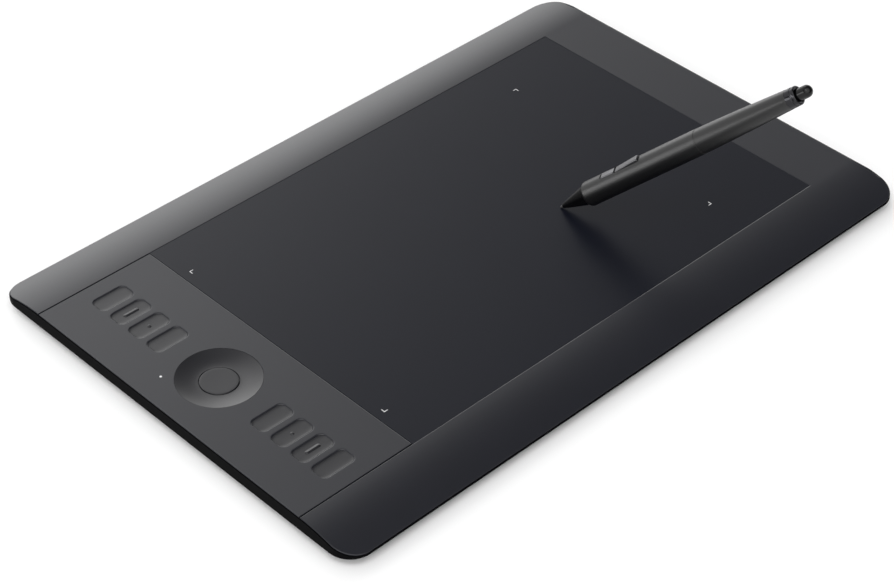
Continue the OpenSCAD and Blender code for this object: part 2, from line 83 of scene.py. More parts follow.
LIGHTS = {
    "left_strip": {"place": (-1.7, 0.9, 0.2), "aim": (0, 0, 0.04), "size": (1.5, 0.5), "watts": 8},
    "near_strip": {"place": (-0.85, -0.3, 1.5), "aim": (0.1, 0, 0.05), "size": (0.7, 0.3), "watts": 3},
}
FLOOR_HALF = 6.0
FLOOR_COLOUR = (0.93, 0.93, 0.93, 1)
FLOOR_ROUGH = 0.9
FLOOR_SPECULAR = 0.2


def facing(place, aim):
    """Turn that points a camera or a light placed at one point towards another."""
    return (Vector(aim) - Vector(place)).to_track_quat("-Z", "Y").to_matrix().to_4x4()


def add_camera():
    data = bpy.data.cameras.new("camera")
    data.lens = CAMERA_LENS
    data.sensor_width = CAMERA_SENSOR
    data.clip_start, data.clip_end = CAMERA_REACH
    camera = bpy.data.objects.new("camera", data)
    look = facing(CAMERA_PLACE, CAMERA_TARGET)
    camera.matrix_world = Matrix.Translation(CAMERA_PLACE) @ look @ Matrix.Rotation(CAMERA_ROLL, 4, "Z")
    bpy.context.scene.collection.objects.link(camera)
    bpy.context.scene.camera = camera


def combined(nodes, links, operation, first, second):
    """Output of a maths node on two values, each a number or another node's output."""
    maths = nodes.new("ShaderNodeMath")
    maths.operation = operation
    for i, value in enumerate((first, second)):
        if isinstance(value, (int, float)):
            maths.inputs[i].default_value = value
        else:
            links.new(value, maths.inputs[i])
    return maths.outputs[0]


def direction_level(nodes, links, direction, towards, steps):
    """Brightness that depends on how far a direction leans towards one side of the studio."""
    lean = nodes.new("ShaderNodeVectorMath")
    lean.operation = "DOT_PRODUCT"
    links.new(direction, lean.inputs[0])
    lean.inputs[1].default_value = towards
    total = None
    for (x0, y0), (x1, y1) in zip(steps, steps[1:]):
        part = nodes.new("ShaderNodeMapRange")
        part.inputs["From Min"].default_value = x0
        part.inputs["From Max"].default_value = x1
        part.inputs["To Min"].default_value = y0 if total is None else 0
        part.inputs["To Max"].default_value = y1 if total is None else y1 - y0
        links.new(lean.outputs["Value"], part.inputs["Value"])
        level = part.outputs["Result"]
        total = level if total is None else combined(nodes, links, "ADD", total, level)
    return total


def add_world():
    """White sweep on the far left, bright horizon on the far right, soft fill over the user's side."""
    world = bpy.data.worlds.new("studio")
    world.use_nodes = True
    bpy.context.scene.world = world
    nodes, links = world.node_tree.nodes, world.node_tree.links
    direction = nodes.new("ShaderNodeTexCoord").outputs["Generated"]
    sweep = combined(nodes, links, "MULTIPLY",
                     direction_level(nodes, links, direction, SWEEP_SIDE, SWEEP_STEPS),
                     direction_level(nodes, links, direction, PLAIN_SIDE, SWEEP_FADE))
    fill = combined(nodes, links, "MULTIPLY",
                    direction_level(nodes, links, direction, FILL_SIDE, FILL_STEPS), FILL_LEVEL)
    horizon = combined(nodes, links, "MULTIPLY",
                       direction_level(nodes, links, direction, UP, HORIZON_STEPS),
                       direction_level(nodes, links, direction, HORIZON_SIDE, HORIZON_SPAN))
    level = combined(nodes, links, "ADD", combined(nodes, links, "ADD", sweep, fill), horizon)
    links.new(level, nodes["Background"].inputs["Strength"])
    nodes["Background"].inputs["Color"].default_value = (1, 1, 1, 1)


def add_light(name, place, aim, size, watts):
    data = bpy.data.lights.new(name, "AREA")
    data.shape = "RECTANGLE"
    data.size, data.size_y = size
    data.energy = watts
    light = bpy.data.objects.new(name, data)
    light.matrix_world = Matrix.Translation(place) @ facing(place, aim)
    bpy.context.scene.collection.objects.link(light)


def add_floor():
    corners = [(-FLOOR_HALF, -FLOOR_HALF, 0), (FLOOR_HALF, -FLOOR_HALF, 0),
               (FLOOR_HALF, FLOOR_HALF, 0), (-FLOOR_HALF, FLOOR_HALF, 0)]
    mesh = bpy.data.meshes.new("floor")
    mesh.from_pydata(corners, [], [(0, 1, 2, 3)])
    floor = bpy.data.objects.new("floor", mesh)
    bpy.context.scene.collection.objects.link(floor)
    floor.data.materials.append(plain_white())


def plain_white():
    paint = bpy.data.materials.new("floor_white")
    paint.use_nodes = True
    shader = paint.node_tree.nodes["Principled BSDF"]
    shader.inputs["Base Color"].default_value = FLOOR_COLOUR
    shader.inputs["Roughness"].default_value = FLOOR_ROUGH
    shader.inputs["Specular IOR Level"].default_value = FLOOR_SPECULAR
    return paint


# ---------------------------------------------------------------- materials

MOTTLE_SCALE = 60
MOTTLE_DETAIL = 3
MOTTLE_BAND = (0.3, 0.7)
GRAIN_DETAIL = 2
GRAIN_DEPTH = 0.0002
COAT_ROUGH = 0.1
CLOUD_SCALE = 700
CLOUD_SPREAD = 0.15
LIGHT_GLOW = 0.28
GREY = {"colour": (0.005, 0.0056, 0.0098), "rough": 0.36, "bump": 0.03}


def noise(nodes, links, place, scale, detail):
    """Output of a noise texture at a place on the surface."""
    made = nodes.new("ShaderNodeTexNoise")
    made.inputs["Scale"].default_value = scale
    made.inputs["Detail"].default_value = detail
    links.new(place, made.inputs["Vector"])
    return made.outputs["Fac"]


def spread_out(nodes, links, value, low, high):
    """Output that runs from low to high as a value runs from 0 to 1."""
    made = nodes.new("ShaderNodeMapRange")
    made.inputs["To Min"].default_value = low
    made.inputs["To Max"].default_value = high
    links.new(value, made.inputs["Value"])
    return made.outputs["Result"]


def mottled(nodes, links, place, colour, spread):
    """Output with a colour that slowly varies in brightness over the surface."""
    shades = nodes.new("ShaderNodeValToRGB")
    for i, factor in enumerate((1 - spread, 1 + spread)):
        shades.color_ramp.elements[i].position = MOTTLE_BAND[i]
        shades.color_ramp.elements[i].color = (*(c * factor for c in colour), 1)
    links.new(noise(nodes, links, place, MOTTLE_SCALE, MOTTLE_DETAIL), shades.inputs["Fac"])
    return shades.outputs["Color"]


def finish_material(name, colour, rough, spread=0.06, rough_spread=0.04, grain=2500, bump=0.02,
                    grain_stretch=(1, 1, 1), metallic=0.0, specular=0.5, coat=0.0, sheen=0.0):
    """Moulded or coated surface: slow colour mottling, fine grain in its roughness and its bump."""
    made = bpy.data.materials.new(name)
    made.use_nodes = True
    nodes, links = made.node_tree.nodes, made.node_tree.links
    shader = nodes["Principled BSDF"]
    shader.inputs["Metallic"].default_value = metallic
    shader.inputs["Specular IOR Level"].default_value = specular
    shader.inputs["Coat Weight"].default_value = coat
    shader.inputs["Coat Roughness"].default_value = COAT_ROUGH
    shader.inputs["Sheen Weight"].default_value = sheen
    place = nodes.new("ShaderNodeTexCoord").outputs["Object"]
    links.new(mottled(nodes, links, place, colour, spread), shader.inputs["Base Color"])
    stretch = nodes.new("ShaderNodeMapping")
    stretch.inputs["Scale"].default_value = grain_stretch
    links.new(place, stretch.inputs["Vector"])
    fine = noise(nodes, links, stretch.outputs["Vector"], grain, GRAIN_DETAIL)
    roughness = spread_out(nodes, links, fine, rough - rough_spread, rough + rough_spread)
    links.new(roughness, shader.inputs["Roughness"])
    relief = nodes.new("ShaderNodeBump")
    relief.inputs["Strength"].default_value = bump
    relief.inputs["Distance"].default_value = GRAIN_DEPTH
    links.new(fine, relief.inputs["Height"])
    links.new(relief.outputs["Normal"], shader.inputs["Normal"])
    return made


def lit_material(name, glow):
    """Light guide whose glow varies a little, as in a cloudy moulding."""
    made = finish_material(name, (0.5, 0.5, 0.5), 0.4)
    nodes, links = made.node_tree.nodes, made.node_tree.links
    cloud = nodes.new("ShaderNodeTexNoise")
    cloud.inputs["Scale"].default_value = CLOUD_SCALE
    dim, bright = glow * (1 - CLOUD_SPREAD), glow * (1 + CLOUD_SPREAD)
    level = spread_out(nodes, links, cloud.outputs["Fac"], dim, bright)
    shader = nodes["Principled BSDF"]
    shader.inputs["Emission Color"].default_value = (1, 1, 1, 1)
    links.new(level, shader.inputs["Emission Strength"])
    return made


FINISHES = {
    "case_black": dict(colour=(0.0022, 0.0022, 0.0024), rough=0.6, specular=0.02, bump=0.1, grain=1800),
    "cover_grey": GREY,
    "panel_grey": GREY,
    "lens_dark": GREY,
    "key_grey": dict(colour=(0.006, 0.0061, 0.0085), rough=0.36, bump=0.03),
    "ring_dark": dict(colour=(0.006, 0.006, 0.0085), rough=0.33, bump=0.02, specular=0.52),
    "sheet": dict(colour=(0.0026, 0.0034, 0.0078), rough=0.3, spread=0.04, bump=0.05, grain=3500,
                  specular=0.2),
    "led": dict(colour=(0.8, 0.78, 0.66), rough=0.2, coat=0.5),
    "circuit_board": dict(colour=(0.02, 0.13, 0.06), rough=0.35, coat=0.4, spread=0.2),
    "shield_steel": dict(colour=(0.5, 0.5, 0.51), rough=0.35, metallic=1, grain_stretch=(1, 0.02, 1),
                         bump=0.1),
    "chip": dict(colour=(0.015, 0.015, 0.016), rough=0.5, bump=0.2),
    "port_steel": dict(colour=(0.6, 0.6, 0.62), rough=0.28, metallic=1, bump=0.03),
    "flex": dict(colour=(0.32, 0.17, 0.04), rough=0.3, coat=0.4),
    "connector": dict(colour=(0.72, 0.69, 0.6), rough=0.5, bump=0.05),
    "battery": dict(colour=(0.05, 0.075, 0.12), rough=0.3, coat=0.3, spread=0.1),
    "contact": dict(colour=(0.8, 0.58, 0.22), rough=0.25, metallic=1),
    "radio": dict(colour=(0.02, 0.02, 0.024), rough=0.5, bump=0.1),
    "foot_rubber": dict(colour=(0.012, 0.012, 0.013), rough=0.75, bump=0.2, sheen=0.1),
    "screw_steel": dict(colour=(0.45, 0.46, 0.48), rough=0.35, metallic=1, bump=0.05),
    "label": dict(colour=(0.03, 0.03, 0.033), rough=0.35, bump=0.02),
    "pen_rubber": dict(colour=(0.002, 0.002, 0.0023), rough=0.3, bump=0.08, specular=0.62),
    "pen_shell": dict(colour=(0.002, 0.002, 0.0023), rough=0.32, bump=0.05, specular=0.58),
    "pen_gloss": dict(colour=(0.0012, 0.0012, 0.0015), rough=0.07, bump=0.0, rough_spread=0.02, specular=0.3),
    # pen_chrome: the chrome ring's metal is darkened almost to black, painted shade that stands in for the dark
    # surroundings real chrome would reflect
    "pen_chrome": dict(colour=(0.04, 0.04, 0.043), rough=0.06, metallic=1, bump=0.01, rough_spread=0.02,
                       spread=0.02),
    "pen_switch": dict(colour=(0.11, 0.11, 0.115), rough=0.3, metallic=0.8, bump=0.08, grain=900),
    "pen_inner": dict(colour=(0.04, 0.04, 0.045), rough=0.5, bump=0.05),
    "copper": dict(colour=(0.7, 0.3, 0.13), rough=0.3, metallic=1, grain_stretch=(0.1, 0.1, 6), bump=0.4),
    "nib": dict(colour=(0.03, 0.03, 0.031), rough=0.45, bump=0.05),
}
MATERIALS = {name: finish_material(name, **finish) for name, finish in FINISHES.items()}
MATERIALS["light_white"] = lit_material("light_white", LIGHT_GLOW)


# ---------------------------------------------------------------- shapes

EVEN_WEIGHT = 100
SAME_POINT = 1e-7
FILL_TOLERANCE = 1e-6
SHARPEST_R = 0.15
SMOOTH_ANGLE = 30


def new_piece(name, mesh, body, slot, replaced, smooth_angle=SMOOTH_ANGLE):
    """Object for a finished mesh: smooth shading, its slot's material and its body; the CAD node it stands for is
    hidden.
    """
    piece = bpy.data.objects.new(name, mesh)
    bpy.context.scene.collection.objects.link(piece)
    mesh.materials.clear()
    mesh.materials.append(MATERIALS[slot])
    mesh.shade_smooth()
    mesh.set_sharp_from_angle(angle=math.radians(smooth_angle))
    even = piece.modifiers.new("even_shading", "WEIGHTED_NORMAL")
    even.keep_sharp, even.weight = True, EVEN_WEIGHT
    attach(piece, body)
    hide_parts(replaced)
    return piece


def mesh_from(name, points, faces):
    """Mesh with touching points merged and its faces turned outwards."""
    mesh = bpy.data.meshes.new(name)
    mesh.from_pydata([tuple(p) for p in points], [], faces)
    build = bmesh.new()
    build.from_mesh(mesh)
    bmesh.ops.remove_doubles(build, verts=build.verts, dist=SAME_POINT)
    bmesh.ops.recalc_face_normals(build, faces=build.faces)
    build.to_mesh(mesh)
    build.free()
    return mesh


def to_metres(points):
    return [Vector(p) * MM for p in points]


def arc(first, stop, step):
    """Angles in radians, from first degrees up to stop, which is left out."""
    return [math.radians(d) for d in range(first, stop, step)]


def box_loop(x0, x1, y0, y1, z):
    return [(x0, y0, z), (x1, y0, z), (x1, y1, z), (x0, y1, z)]


def rounded_loop(centre, size, radius, grow, z, steps=10):
    """Rounded rectangle grown by an offset, as points at one height."""
    hx, hy = size[0] / 2 + grow, size[1] / 2 + grow
    r = min(max(radius + grow, SHARPEST_R), hx, hy)
    loop = []
    for k, (sx, sy) in enumerate(((1, 1), (-1, 1), (-1, -1), (1, -1))):
        for i in range(steps + 1):
            a = math.radians(90 * k + 90 * i / steps)
            loop.append((centre[0] + sx * (hx - r) + r * math.cos(a),
                         centre[1] + sy * (hy - r) + r * math.sin(a), z))
    return loop


def circle_loop(centre, r, z, steps):
    turn = 2 * math.pi / steps
    x, y = centre
    return [(x + r * math.cos(turn * i), y + r * math.sin(turn * i), z) for i in range(steps)]


def skin(loops, cap_first=True, cap_last=True):
    """Points and faces of loops of equal length, joined one to the next."""
    n = len(loops[0])
    points = [p for loop in loops for p in loop]
    faces = []
    for k in range(len(loops) - 1):
        for i in range(n):
            j = (i + 1) % n
            faces.append((k * n + i, k * n + j, (k + 1) * n + j, (k + 1) * n + i))
    if cap_first:
        faces.append(tuple(range(n))[::-1])
    if cap_last:
        faces.append(tuple(range((len(loops) - 1) * n, len(loops) * n)))
    return points, faces


def joined(*parts):
    """Several (points, faces) pairs as one."""
    points, faces = [], []
    for p, f in parts:
        base = len(points)
        points += p
        faces += [tuple(i + base for i in face) for face in f]
    return points, faces


def inside(loop, x, y):
    """True if a point lies inside a closed loop, by counting crossings."""
    hit = False
    for (x1, y1, _), (x2, y2, _) in zip(loop, loop[1:] + loop[:1]):
        if (y1 > y) != (y2 > y) and x < (x2 - x1) * (y - y1) / (y2 - y1) + x1:
            hit = not hit
    return hit


def filled(flat, edges, outer, holes=()):
    """Triangles over flat points and edges, kept inside the outer loop and outside its holes."""
    made, _, faces, _, _, _ = delaunay_2d_cdt(flat, edges, [], 0, FILL_TOLERANCE)
    kept = []
    for face in faces:
        x = sum(made[i].x for i in face) / len(face)
        y = sum(made[i].y for i in face) / len(face)
        if inside(outer, x, y) and not any(inside(hole, x, y) for hole in holes):
            kept.append(tuple(face))
    return made, kept


def flat_with_holes(outer, holes, z):
    """Flat sheet between an outer loop and hole loops, all given as points."""
    flat, edges = [], []
    for loop in (outer, *holes):
        base, n = len(flat), len(loop)
        flat += [Vector((p[0], p[1])) for p in loop]
        edges += [(base + i, base + (i + 1) % n) for i in range(n)]
    made, kept = filled(flat, edges, outer, holes)
    return [(p.x, p.y, z) for p in made], kept


def lathe(name, profile, place, steps):
    """Closed [radius, height] outline, turned about the Z axis of place."""
    turn = 2 * math.pi / steps
    n = len(profile)
    points, faces = [], []
    for i in range(steps):
        c, s = math.cos(turn * i), math.sin(turn * i)
        points += [place @ (Vector((r * c, r * s, z)) * MM) for r, z in profile]
    for i in range(steps):
        j = (i + 1) % steps
        for k in range(n):
            m = (k + 1) % n
            ring = [i * n + k, i * n + m, j * n + m, j * n + k]
            if profile[k][0] == 0 and profile[m][0] == 0:
                continue
            if profile[k][0] == 0:
                ring = ring[:3]
            elif profile[m][0] == 0:
                ring = [ring[0], ring[1], ring[3]]
            faces.append(tuple(ring))
    return mesh_from(name, points, faces)


# ---------------------------------------------------------------- key panel, keys and ring

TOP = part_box("key_panel")[1].z / MM
PANEL_LOW, PANEL_HIGH = (Vector(c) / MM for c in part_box("key_panel"))
PANEL_SEAMS = (0.3, 0.12)       # narrows the panel's near and far edge
PANEL_RIM = [(0.2, 0.0, 0.52), (0.08, -0.17, 0.05), (0.0, -0.25, 0.03)]  # inset, height, inset at the sheet
PANEL_BOTTOM = 10.2
LIP_BOTTOM = TOP - 0.6
LIP_END = -187.25
RING_LOW, RING_HIGH = (Vector(c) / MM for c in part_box("touch_ring"))
RING_CENTRE = ((RING_LOW.x + RING_HIGH.x) / 2, (RING_LOW.y + RING_HIGH.y) / 2)
RING_R = (RING_HIGH.x - RING_LOW.x) / 2
RING_DEPTH = 2.15
RING_CURVE = 1.6                # over 1, the dish is steepest at its rim
RING_GAP = 0.06
RING_STEPS = 14
RING_EDGE = (0.1, 0.12)         # width of the edge beside the button and beside the panel
RING_EDGE_DROP = 0.1
RING_RIM_DROP = 0.02
BUTTON_R = 9.3
BUTTON_GAP = 0.32
BUTTON_DROP = 1.95
BUTTON_DISH = [(0, 0.06), (4, 0.05), (7.5, 0.02)]                   # radius, depth
BUTTON_EDGE = [(0.45, 0.0), (0.2, 0.05), (0.06, 0.16), (0.0, 0.35)]  # inset, depth
BUTTON_FLANGE = (0.8, 9.2)      # width, top
LENS_R = 0.6
LENS_GAP = 0.02
KEY_SIZE = (19.3, 9.5)
KEY_R = 3.0
KEY_FLANGE = 1.0
KEY_FLANGE_Z = (9.0, 9.9)
KEY_STEM_R = 1.5
KEY_STEM_TOP = 9.05
KEY_NAMES = [f"key_{i}" for i in range(1, 9)]
KEY_MARKS = {"key_2": "bar", "key_7": "bar", "key_3": "dot", "key_6": "dot"}
BAR_SIZE = (8.8, 2.1)
BAR_R = 1.0
BAR_LEAN = 0.6                  # how far the bar's ridge shifts towards the user as it rises

# Profiles round a key: (how far the loop grows past the key's outline, height from the panel's top).
PANEL_DISH = [(0.8, 0.0), (0.55, -0.025), (0.35, -0.085), (0.2, -0.165), (0.1, -0.25), (0.04, -0.34)]
KEY_DISH = [(-0.03, -0.34), (-0.08, -0.3), (-0.3, -0.36), (-0.7, -0.42), (-1.3, -0.47), (-2.2, -0.5),
            (-3.2, -0.51), (-4.4, -0.52)]

# Profiles of the marks, from the key's floor: (growth or radius, height).
BAR_RISE = [(0.1, -0.1), (0.1, 0.04), (0.05, 0.1), (-0.02, 0.14), (-0.92, 0.5), (-0.98, 0.51)]
DOT_RISE = [(1.0, -0.1), (1.0, 0.05), (0.96, 0.11), (0.88, 0.16), (0.25, 0.46), (0.12, 0.48)]


def node_centre(name):
    low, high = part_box(name)
    return ((low.x + high.x) / 2 / MM, (low.y + high.y) / 2 / MM)


def lens_centres():
    """The four status lights sit on the ring's diagonals."""
    lit = node_centre("status_lens_lit")
    dx, dy = abs(lit[0] - RING_CENTRE[0]), abs(lit[1] - RING_CENTRE[1])
    return [(RING_CENTRE[0] + sx * dx, RING_CENTRE[1] + sy * dy) for sx in (-1, 1) for sy in (-1, 1)]


def panel_holes():
    """Loops from the top to the bottom of every hole in the panel, for keys, ring and lights."""
    holes = []
    for name in KEY_NAMES:
        centre = node_centre(name)
        loops = [rounded_loop(centre, KEY_SIZE, KEY_R, grow, TOP + z) for grow, z in PANEL_DISH]
        loops.append(rounded_loop(centre, KEY_SIZE, KEY_R, PANEL_DISH[-1][0], PANEL_BOTTOM))
        holes.append(loops)
    holes.append([circle_loop(RING_CENTRE, RING_R + RING_GAP, z, steps=96) for z in (TOP, PANEL_BOTTOM)])
    for centre in lens_centres():
        holes.append([circle_loop(centre, LENS_R + LENS_GAP, z, steps=24) for z in (TOP, PANEL_BOTTOM)])
    return holes


def build_key_panel():
    """Panel with a soft-edged recess round every key and a softened outer edge."""
    x0, x1 = PANEL_LOW.x, PANEL_HIGH.x
    y0, y1 = PANEL_LOW.y + PANEL_SEAMS[0], PANEL_HIGH.y - PANEL_SEAMS[1]
    outer = [box_loop(x0 + d, x1 - at_sheet, y0 + d, y1 - d, TOP + z) for d, z, at_sheet in PANEL_RIM]
    outer.append(box_loop(x0, x1, y0, y1, LIP_BOTTOM))
    outer.append(box_loop(LIP_END, x1, y0, y1, LIP_BOTTOM))
    outer.append(box_loop(LIP_END, x1, y0, y1, PANEL_BOTTOM))
    holes = panel_holes()
    parts = [skin(loops, False, False) for loops in (outer, *holes)]
    parts.append(flat_with_holes(outer[0], [loops[0] for loops in holes], TOP))
    parts.append(flat_with_holes(outer[-1], [loops[-1] for loops in holes], PANEL_BOTTOM))
    points, faces = joined(*parts)
    mesh = mesh_from("key_panel_skin", to_metres(points), faces)
    new_piece("key_panel_skin", mesh, "tablet", "panel_grey", "key_panel", smooth_angle=18)


def key_mark(name, centre, floor_z):
    """Raised bar or dot on a key, as a list of skins that is empty for a plain key."""
    mark = KEY_MARKS.get(name)
    x, y = centre
    if mark == "bar":
        return [skin([rounded_loop((x, y - BAR_LEAN * z), BAR_SIZE, BAR_R, grow, floor_z + z, steps=6)
                      for grow, z in BAR_RISE])]
    if mark == "dot":
        return [skin([circle_loop(centre, r, floor_z + z, steps=32) for r, z in DOT_RISE])]
    return []


def build_key(name):
    """Dished key cap with its flange and stem, and its raised mark if it has one."""
    centre = node_centre(name)
    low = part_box(name)[0].z / MM
    flange_low, flange_top = KEY_FLANGE_Z
    profile = [(grow, TOP + z) for grow, z in reversed(KEY_DISH)]
    profile += [(KEY_DISH[0][0], flange_top), (KEY_FLANGE, flange_top), (KEY_FLANGE, flange_low)]
    parts = [skin([rounded_loop(centre, KEY_SIZE, KEY_R, grow, z) for grow, z in profile])]
    parts.append(skin([circle_loop(centre, KEY_STEM_R, z, steps=24) for z in (KEY_STEM_TOP, low)]))
    parts += key_mark(name, centre, TOP + KEY_DISH[-1][1])
    points, faces = joined(*parts)
    mesh = mesh_from(name + "_cap", to_metres(points), faces)
    new_piece(name + "_cap", mesh, name, "key_grey", name)


def at_ring():
    return Matrix.Translation(Vector((RING_CENTRE[0], RING_CENTRE[1], 0)) * MM)


def build_ring():
    """Shallow bowl that is steepest at its rim."""
    inner, floor_z = BUTTON_R + BUTTON_GAP, TOP - RING_DEPTH
    start, width = inner + RING_EDGE[0], RING_R - RING_EDGE[1] - inner - RING_EDGE[0]
    rise = RING_DEPTH - RING_RIM_DROP
    bowl = [(start + width * t, floor_z + rise * t ** RING_CURVE)
            for t in (i / RING_STEPS for i in range(RING_STEPS + 1))]
    profile = [(inner, RING_LOW.z), (RING_R, RING_LOW.z), (RING_R, TOP - RING_EDGE_DROP), *reversed(bowl),
               (inner, floor_z - RING_EDGE_DROP)]
    mesh = lathe("touch_ring_dish", profile, at_ring(), steps=160)
    new_piece("touch_ring_dish", mesh, "tablet", "ring_dark", "touch_ring")


def build_ring_button():
    """Flat round button with a softened edge and its captive flange."""
    low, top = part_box("ring_button")[0].z / MM, TOP - BUTTON_DROP
    flange, flange_top = BUTTON_FLANGE
    profile = [(r, top - depth) for r, depth in BUTTON_DISH]
    profile += [(BUTTON_R - d, top - depth) for d, depth in BUTTON_EDGE]
    profile += [(BUTTON_R, flange_top), (BUTTON_R + flange, flange_top), (BUTTON_R + flange, low), (0, low)]
    mesh = lathe("ring_button_cap", profile, at_ring(), steps=128)
    new_piece("ring_button_cap", mesh, "ring_button", "key_grey", "ring_button")


# ---------------------------------------------------------------- top cover and sheet

COVER_HIGH = Vector(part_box("top_cover")[1]) / MM
COVER_HALF = (COVER_HIGH.x, COVER_HIGH.y)
COVER_R = 12.0
COVER_T = 0.6
COVER_SETBACK = 0.5             # the cover ends this far inside the case's plain side
RAIL_Y = 93.4
RAIL_WIDTH = 31.6
RAIL_DROP = 5.8
RAIL_R = (RAIL_WIDTH ** 2 + RAIL_DROP ** 2) / (2 * RAIL_DROP)
RAIL_STEPS = 20
ROLL_R = 3.0
ROLL_X = COVER_HALF[0] + COVER_SETBACK - 0.9 * ROLL_R    # so the roll stops short of a quarter turn
ROLL_LINES = [ROLL_X + 0.45 * i for i in range(4)]
GUIDE_MARGIN = 0.9              # guide lines end this far inside the cover's edge
EDGE_PROFILE = [(0.2, 0.37), (0.06, 0.6), (0.0, 1.0)]    # shares of the edge's width and of its depth
EDGE_DEPTH = 0.8                # depth of a softened edge as a share of its width
OUTER_EDGE = 0.22
WINDOW_EDGES = (0.1, 0.65)      # widths at the window's far and near corner
SHEET_LOW, SHEET_HIGH = (Vector(c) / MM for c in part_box("drawing_sheet"))
SHEET_RISE = 0.14
SHEET_GROWTH = 0.12
SHEET_GROWTH_AT_KEYS = 0.1
SHEET_RIM = [(0.06, 0.0), (0.02, 0.02), (0.0, 0.06)]                # inset, depth
WINDOW_GAP = 0.15
WINDOW_END = SHEET_HIGH.x + WINDOW_GAP
PLATE_T = 1.5
LEDGE_END = -184
LEDGE_WIDTH = 1.4
LEDGE_Z = (9.15, 10.15)
POST_SPOTS = [(x, y) for x in (-170, -60, 60, 170) for y in (-108, 108)]
POST_PROFILE = [(3.0, 7.02), (3.2, 7.2), (3.2, 9.0)]
MARK_ARM = 2.3
MARK_LINE = 0.5


def top_height(x, y):
    """Height of the cover: two rails along the long edges and a tight roll on the plain side."""
    over = min(max(abs(y) - RAIL_Y, 0), RAIL_R)
    roll = min(max(x - ROLL_X, 0), ROLL_R)
    return min(TOP - RAIL_R + math.sqrt(RAIL_R ** 2 - over ** 2),
               TOP - ROLL_R + math.sqrt(ROLL_R ** 2 - roll ** 2))


def rail_stations():
    return [RAIL_Y + RAIL_WIDTH * i / RAIL_STEPS for i in range(RAIL_STEPS)]


def corner_arc(sx, sy, steps=28):
    """Points of one outer corner, in the order that turns left."""
    start = {(1, -1): 270, (1, 1): 0, (-1, 1): 90, (-1, -1): 180}[(sx, sy)]
    cx, cy = sx * (COVER_HALF[0] - COVER_R), sy * (COVER_HALF[1] - COVER_R)
    return [(cx + COVER_R * math.cos(math.radians(start + 90 * i / steps)),
             cy + COVER_R * math.sin(math.radians(start + 90 * i / steps))) for i in range(steps + 1)]


def cover_outline():
    """C-shaped outline of the cover with the width of its softened edge at every point."""
    hx = COVER_HALF[0]
    straight = [y for y in rail_stations() if y < COVER_HALF[1] - COVER_R - 0.3]
    outer = [(-hx, -y) for y in straight] + corner_arc(-1, -1) + corner_arc(1, -1)
    outer += [(hx, -y) for y in reversed(straight)] + [(hx, y) for y in straight]
    outer += corner_arc(1, 1) + corner_arc(-1, 1) + [(-hx, y) for y in reversed(straight)]
    window = [(WINDOW_END, side * RAIL_Y, width) for side, width in zip((1, -1), WINDOW_EDGES)]
    return [(x, y, OUTER_EDGE) for x, y in outer] + window


def inset(outline, share):
    """The outline moved inwards by a share of every point's edge width."""
    moved = []
    n = len(outline)
    for i, (x, y, width) in enumerate(outline):
        here = Vector((x, y))
        into = (here - Vector(outline[i - 1][:2])).normalized()
        out_of = (Vector(outline[(i + 1) % n][:2]) - here).normalized()
        left = [Vector((-d.y, d.x)) for d in (into, out_of)]
        mid = (left[0] + left[1]).normalized()
        point = here + mid * (share * width / max(mid.dot(left[0]), 0.3))
        moved.append((point.x, point.y, width))
    return moved


def guide_lines():
    """Segments along the rails and the roll that keep the skin's facets on their curves."""
    hx, hy = COVER_HALF
    lines = []
    for y in rail_stations()[1:]:
        into_corner = max(y - (hy - COVER_R), 0)
        reach = math.sqrt(max((COVER_R - 0.4) ** 2 - into_corner ** 2, 0))
        end = hx - COVER_R + reach - GUIDE_MARGIN
        for side in (-1, 1):
            lines.append(((-end, side * y), (end, side * y)))
    for side in (-1, 1):
        lines.append(((WINDOW_END + 1, side * RAIL_Y), (ROLL_X - 0.1, side * RAIL_Y)))
    for x in ROLL_LINES:
        lines.append(((x, 1 - hy + COVER_R), (x, hy - COVER_R - 1)))
    return lines


def cover_skin(outline, height):
    """Triangles over the C-shaped outline, lifted onto a height function."""
    flat = [Vector((x, y)) for x, y, _ in outline]
    n = len(flat)
    edges = [(i, (i + 1) % n) for i in range(n)]
    for a, b in guide_lines():
        edges.append((len(flat), len(flat) + 1))
        flat += [Vector(a), Vector(b)]
    made, kept = filled(flat, edges, outline)
    return [(p.x, p.y, height(p.x, p.y)) for p in made], kept


def cover_shell():
    """The cover's upper and lower skin and the softened edge between them."""
    outline = cover_outline()
    top_outline = inset(outline, 1.0)
    loops = [[(x, y, top_height(x, y)) for x, y, _ in top_outline]]
    for share, depth in EDGE_PROFILE:
        loops.append([(x, y, top_height(ox, oy) - depth * width * EDGE_DEPTH)
                      for (x, y, width), (ox, oy, _) in zip(inset(outline, share), outline)])
    loops.append([(x, y, top_height(x, y) - COVER_T) for x, y, _ in outline])
    return [skin(loops, False, False), cover_skin(top_outline, top_height),
            cover_skin(outline, lambda x, y: top_height(x, y) - COVER_T)]


def cover_plate():
    """Plate under the sheet and the two ledges that carry the key panel."""
    side_y = RAIL_Y + PLATE_T
    parts = [skin([box_loop(SHEET_LOW.x, WINDOW_END + PLATE_T, -side_y, side_y, z)
                   for z in (SHEET_LOW.z - PLATE_T, SHEET_LOW.z)])]
    for side in (-1, 1):
        y0, y1 = sorted((side * (RAIL_Y - LEDGE_WIDTH), side * side_y))
        parts.append(skin([box_loop(LEDGE_END, PANEL_HIGH.x, y0, y1, z) for z in LEDGE_Z]))
    return parts


def cover_posts():
    """Screw posts whose tops follow the cover's own curve."""
    parts = []
    for spot in POST_SPOTS:
        loops = [circle_loop(spot, r, z, steps=32) for r, z in POST_PROFILE]
        loops.append([(x, y, top_height(x, y) - COVER_T / 2) for x, y, _ in loops[-1]])
        parts.append(skin(loops))
    return parts


def build_top_cover():
    """Cover with finely curved rails, the plate under the sheet, the panel's ledges and its screw posts."""
    points, faces = joined(*cover_shell(), *cover_plate(), *cover_posts())
    mesh = mesh_from("top_cover_skin", to_metres(points), faces)
    new_piece("top_cover_skin", mesh, "tablet", "cover_grey", "top_cover", smooth_angle=19)


